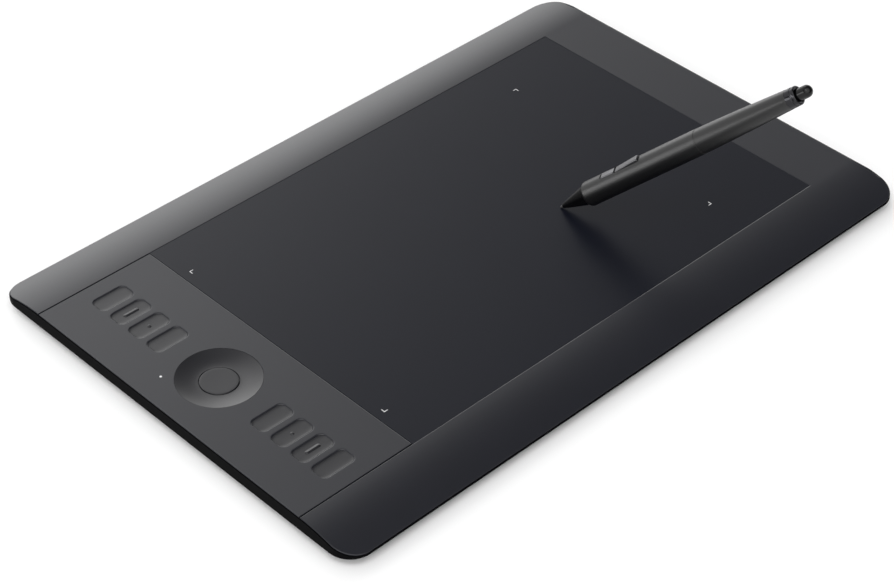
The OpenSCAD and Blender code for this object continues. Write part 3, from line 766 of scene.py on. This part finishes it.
def mark_slits():
    """L-shaped loops where the corner marks shine through the sheet."""
    low, high = (Vector(c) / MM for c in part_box("corner_marks"))
    corner = [(0, 0), (MARK_ARM, 0), (MARK_ARM, MARK_LINE), (MARK_LINE, MARK_LINE), (MARK_LINE, MARK_ARM),
              (0, MARK_ARM)]
    return [[(cx + sx * a, cy + sy * b, 0) for a, b in corner]
            for cx, sx in ((low.x, 1), (high.x, -1)) for cy, sy in ((low.y, 1), (high.y, -1))]


def build_sheet():
    """Thin drawing sheet with a slit for every corner mark."""
    x0, x1 = SHEET_LOW.x - SHEET_GROWTH_AT_KEYS, SHEET_HIGH.x + SHEET_GROWTH
    y0, y1 = SHEET_LOW.y - SHEET_GROWTH, SHEET_HIGH.y + SHEET_GROWTH
    top, bottom = SHEET_HIGH.z + SHEET_RISE, SHEET_LOW.z
    outer = [box_loop(x0 + d, x1 - d, y0 + d, y1 - d, top - depth) for d, depth in SHEET_RIM]
    outer.append(box_loop(x0, x1, y0, y1, bottom))
    slits = mark_slits()
    parts = [skin(outer, False, False)]
    for slit in slits:
        parts.append(skin([[(x, y, z) for x, y, _ in slit] for z in (top, bottom)], False, False))
    parts += [flat_with_holes(outer[0], slits, top), flat_with_holes(outer[-1], slits, bottom)]
    points, faces = joined(*parts)
    mesh = mesh_from("drawing_sheet_skin", to_metres(points), faces)
    new_piece("drawing_sheet_skin", mesh, "tablet", "sheet", "drawing_sheet")


# ---------------------------------------------------------------- pen

# Across the pen, lengths are radii or offsets; along it, they are distances s from the tip.
PIVOT_X, PIVOT_S = 3.6, 41.2
PEN_Z = Vector(JOINTS["pen_nib_press"]["axis"]).normalized()
PEN_Y = Vector(JOINTS["pen_switch_rock"]["axis"]).normalized()
PEN_X = PEN_Y.cross(PEN_Z)
PEN_TIP = Vector(JOINTS["pen_switch_rock"]["pos_m"]) - (PEN_X * PIVOT_X + PEN_Z * PIVOT_S) * MM
NIB_TIP_R = 0.7
NIB_R = 0.85
NIB_SHOULDER = [(0.76, 1.2), (NIB_R, 2.2)]
NIB_END = 23.4
NIB_HOLE_R = 1.0
CONE_TIP = (1.1, 1.9)
CONE_GROWTH = 4.3
CONE_LENGTH = 16.75
CONE_CURVE = 0.9
CONE_INSIDE = [(5.4, 18.68), (4.0, 18.68), (4.0, 23.9), (2.3, 23.9), (2.3, 9.8), (NIB_HOLE_R, 9.8)]
GRIP_R = 6.5
GRIP_BORE = 5.0
GRIP_S = (18.7, 91.2)
GRIP_NOSE = (1.0, 1.6)          # radius lost and length of the grip's rounded front
GRIP_LIP = (0.15, 0.02)         # how far the very front stands in and forward of that nose
GRIP_RINGS = (30, 60)
GRIP_BACK = [(0.0, 0.3), (0.0, 0.05), (0.04, 0.0)]      # radius lost, distance before the end
BARREL_R = 6.38
BARREL_BORE = 4.0
BARREL_START = 18.8
BARREL_END = 144.2
BARREL_END_R = 4.75
BARREL_TAPER = 1.46
BARREL_CURVE = 1.35
BARREL_GAP = 0.03
BARREL_STRAIGHT = 0.4
BARREL_FRONT = [(0.03, 0.0), (0.0, 0.04), (0.0, BARREL_STRAIGHT)]     # radius lost, distance behind the grip
BARREL_CHAMFER = 0.3
TAPER_STEPS = 12
SLOT_R = 1.2
SLOT_X = (3.0, 9.0)
SLOT_GAP_IN_GRIP = 0.3
SLOT_GAP_IN_BARREL = 0.2
SWITCH_S = (32.0, 56.5)
SWITCH_W = 4.0
SWITCH_GAP = 0.02
SWITCH_FLOOR = 4.6
SWITCH_EDGE_R = 0.7
SWITCH_LINE = [(32.0, 6.1), (32.3, 6.4), (32.9, 6.55), (36.5, 6.5), (40.2, 6.42), (40.6, 6.3), (40.75, 5.3),
               (41.65, 5.3), (41.8, 6.3), (42.2, 6.42), (46, 6.72), (51, 7.12), (55.6, 7.5), (56.3, 7.42),
               (56.5, 7.0)]     # s, height
SWITCH_FOOT_S = (35, 50)
SWITCH_BLOCK_TOP = 4.7
PIN_R = 0.5
PIN_HALF = 3.2
CHROME_S = (BARREL_END + 0.02, 149.6)
CHROME_FRONT = [(3.3, 0), (4.75, 0), (4.85, 0.15), (4.85, 2.9), (4.75, 3.1), (4.6, 3.2), (4.6, 3.6),
                (4.75, 3.7), (4.8, 4.0)]                # radius, distance behind the ring's front
CHROME_BACK = [(4.75, 0.35), (4.5, 0.08), (4.2, 0), (3.7, 0.05), (3.5, 0.5), (3.3, 0.5)]  # before its back
ERASER_R = 3.1
ERASER_S = (142.5, 157.0)


def pen_place():
    turn = Matrix((PEN_X, PEN_Y, PEN_Z)).transposed().to_4x4()
    return Matrix.Translation(PEN_TIP) @ turn


def pen_mesh(name, points, faces):
    return mesh_from(name, [pen_place() @ (Vector(p) * MM) for p in points], faces)


def turned_piece(name, profile, body, slot, replaced, steps=96):
    """Pen piece turned about the pen's axis."""
    return new_piece(name, lathe(name, profile, pen_place(), steps), body, slot, replaced)


def cut_slot(piece, margin):
    """Cuts the side switch's slot, with round corners, out of a pen sleeve."""
    start, end = SWITCH_S
    loops = []
    for x in SLOT_X:
        flat = rounded_loop((0, (start + end) / 2), (SWITCH_W, end - start), SLOT_R, margin, 0, steps=6)
        loops.append([(x, p[0], p[1]) for p in flat])
    mesh = pen_mesh("slot_cutter", *skin(loops))
    cutter = bpy.data.objects.new("slot_cutter", mesh)
    bpy.context.scene.collection.objects.link(cutter)
    cut = piece.modifiers.new("slot", "BOOLEAN")
    cut.operation, cut.solver, cut.object = "DIFFERENCE", "EXACT", cutter
    apply_modifiers(piece)
    bpy.data.objects.remove(cutter)
    bpy.data.meshes.remove(mesh)
    piece.data.set_sharp_from_angle(angle=math.radians(SMOOTH_ANGLE))


def apply_modifiers(piece):
    graph = bpy.context.evaluated_depsgraph_get()
    done = bpy.data.meshes.new_from_object(piece.evaluated_get(graph))
    piece.modifiers.clear()
    old = piece.data
    piece.data = done
    bpy.data.meshes.remove(old)


def build_pen_grip():
    """Rubber sleeve with a rounded front and a fine joint to the barrel."""
    start, end = GRIP_S
    lost, length = GRIP_NOSE
    outer = [(GRIP_R - lost + lost * math.sin(a), start + length * (1 - math.cos(a))) for a in arc(0, 91, 9)]
    outer += [(GRIP_R, s) for s in GRIP_RINGS] + [(GRIP_R - d, end - s) for d, s in GRIP_BACK]
    lip = (GRIP_R - lost - GRIP_LIP[0], start - GRIP_LIP[1])
    profile = [(GRIP_BORE, start), lip, *outer, (GRIP_BORE, end)]
    piece = turned_piece("pen_grip_sleeve", profile, "pen", "pen_rubber", "pen_grip")
    cut_slot(piece, SLOT_GAP_IN_GRIP)


def build_pen_barrel():
    """Barrel that tapers behind the grip, with the thinner tube that carries the grip."""
    start = GRIP_S[1] + BARREL_GAP
    taper_start = start + BARREL_STRAIGHT
    length = BARREL_END - BARREL_CHAMFER - taper_start
    outer = [(BARREL_R - d, start + s) for d, s in BARREL_FRONT]
    for i in range(1, TAPER_STEPS + 1):
        t = i / TAPER_STEPS
        outer.append((BARREL_R - BARREL_TAPER * t ** BARREL_CURVE, taper_start + length * t))
    profile = [(BARREL_BORE, BARREL_START), (GRIP_BORE, BARREL_START), (GRIP_BORE, start), *outer,
               (BARREL_END_R, BARREL_END), (BARREL_BORE, BARREL_END)]
    piece = turned_piece("pen_barrel_shell", profile, "pen", "pen_shell", "pen_barrel")
    cut_slot(piece, SLOT_GAP_IN_BARREL)


def build_pen_cone():
    """Glossy tip cone, slightly bulged, with its spigot and the nib's hole."""
    r, s = CONE_TIP
    outer = [(r + CONE_GROWTH * t ** CONE_CURVE, s + CONE_LENGTH * t)
             for t in (i / TAPER_STEPS for i in range(TAPER_STEPS + 1))]
    profile = [(NIB_HOLE_R, s + 0.05), *outer, *CONE_INSIDE]
    turned_piece("pen_tip_cone", profile, "pen", "pen_gloss", "pen_cone")


def build_pen_nib():
    dome = [(NIB_TIP_R * math.sin(a), NIB_TIP_R * (1 - math.cos(a))) for a in arc(0, 80, 11)]
    profile = [*dome, *NIB_SHOULDER, (NIB_R, NIB_END), (0, NIB_END)]
    turned_piece("pen_nib_point", profile, "pen_nib", "nib", "pen_nib", steps=48)


def build_pen_ring():
    """Chrome ring with a fine groove and a rounded back."""
    start, end = CHROME_S
    profile = [(r, start + s) for r, s in CHROME_FRONT] + [(r, end - s) for r, s in CHROME_BACK]
    turned_piece("pen_chrome_ring", profile, "pen", "pen_chrome", "pen_ring")


def build_pen_eraser():
    start, end = ERASER_S
    dome = [(ERASER_R * math.sin(a), end - ERASER_R * (1 - math.cos(a))) for a in arc(0, 91, 6)]
    profile = [*dome, (ERASER_R, start), (0, start)]
    turned_piece("pen_eraser_tip", profile, "pen_eraser", "pen_gloss", "pen_eraser", steps=64)


def switch_loop(s, height):
    """Outline of the side switch at one place along the pen, with rounded upper edges."""
    half, r = SWITCH_W / 2 - SWITCH_GAP, SWITCH_EDGE_R
    edge = [(SWITCH_FLOOR, -half), (height - r, -half)]
    edge += [(height - r + r * math.sin(a), -half + r * (1 - math.cos(a))) for a in arc(15, 91, 15)]
    return [(x, y, s) for x, y in edge + [(x, -y) for x, y in reversed(edge)]]


def switch_block(s, half_y, half_s, bottom):
    """Block under the side switch, round a place s along the pen."""
    corners = ((-half_y, -half_s), (half_y, -half_s), (half_y, half_s), (-half_y, half_s))
    return skin([[(x, y, s + t) for y, t in corners] for x in (bottom, SWITCH_BLOCK_TOP)])


def build_pen_switch():
    """Two-ended rocker: a rounded bar along its own rising and dipping top line, on feet and a pin."""
    parts = [skin([switch_loop(s, height) for s, height in SWITCH_LINE])]
    parts += [switch_block(s, half_y=0.8, half_s=0.8, bottom=2.8) for s in SWITCH_FOOT_S]
    pin = [circle_loop((PIVOT_X, PIVOT_S), PIN_R, y, steps=24) for y in (-PIN_HALF, PIN_HALF)]
    parts.append(skin([[(x, y, s) for x, s, y in loop] for loop in pin]))
    parts.append(switch_block(PIVOT_S, half_y=1.4, half_s=0.9, bottom=3.0))
    mesh = pen_mesh("pen_switch_rocker", *joined(*parts))
    new_piece("pen_switch_rocker", mesh, "pen_switch", "pen_switch", "pen_switch", smooth_angle=35)


# ---------------------------------------------------------------- CAD nodes that stay

SOFT_EDGES = {"bottom_case": 0.2, "battery_cover": 0.15, "wireless_cover": 0.15, "rubber_feet": 0.3}
SOFT_SEGMENTS = 3
SOFT_ANGLE = math.radians(32)
FLAT_ANGLE = math.radians(0.3)
WELD_GAP = 2e-6


def soften(node, width):
    """Rounds a CAD node's edges after its coplanar triangles are merged into whole faces."""
    weld = node.modifiers.new("weld", "WELD")
    weld.merge_threshold = WELD_GAP
    flat = node.modifiers.new("flat", "DECIMATE")
    flat.decimate_type = "DISSOLVE"
    flat.angle_limit = FLAT_ANGLE
    soft = node.modifiers.new("soft_edges", "BEVEL")
    soft.width = width * MM
    soft.segments = SOFT_SEGMENTS
    soft.limit_method = "ANGLE"
    soft.angle_limit = SOFT_ANGLE
    even = node.modifiers.new("even_shading", "WEIGHTED_NORMAL")
    even.weight = EVEN_WEIGHT


def dress_cad_nodes():
    """Every carried-over node gets its slot's material, and the outer ones softened edges."""
    slots = {s["node"]: s["material_slot"] for s in frame["record"]["subparts"]}
    for name, node in NODES.items():
        node.data.materials.clear()
        node.data.materials.append(MATERIALS[slots[name]])
        for face in node.data.polygons:
            face.use_smooth = True
        if name in SOFT_EDGES:
            soften(node, SOFT_EDGES[name])


add_camera()
add_world()
add_floor()
for light_name, light in LIGHTS.items():
    add_light(light_name, **light)
build_top_cover()
build_sheet()
build_key_panel()
for key_name in KEY_NAMES:
    build_key(key_name)
build_ring()
build_ring_button()
build_pen_grip()
build_pen_barrel()
build_pen_cone()
build_pen_nib()
build_pen_ring()
build_pen_eraser()
build_pen_switch()
dress_cad_nodes()
bpy.context.scene.view_settings.view_transform = "Standard"
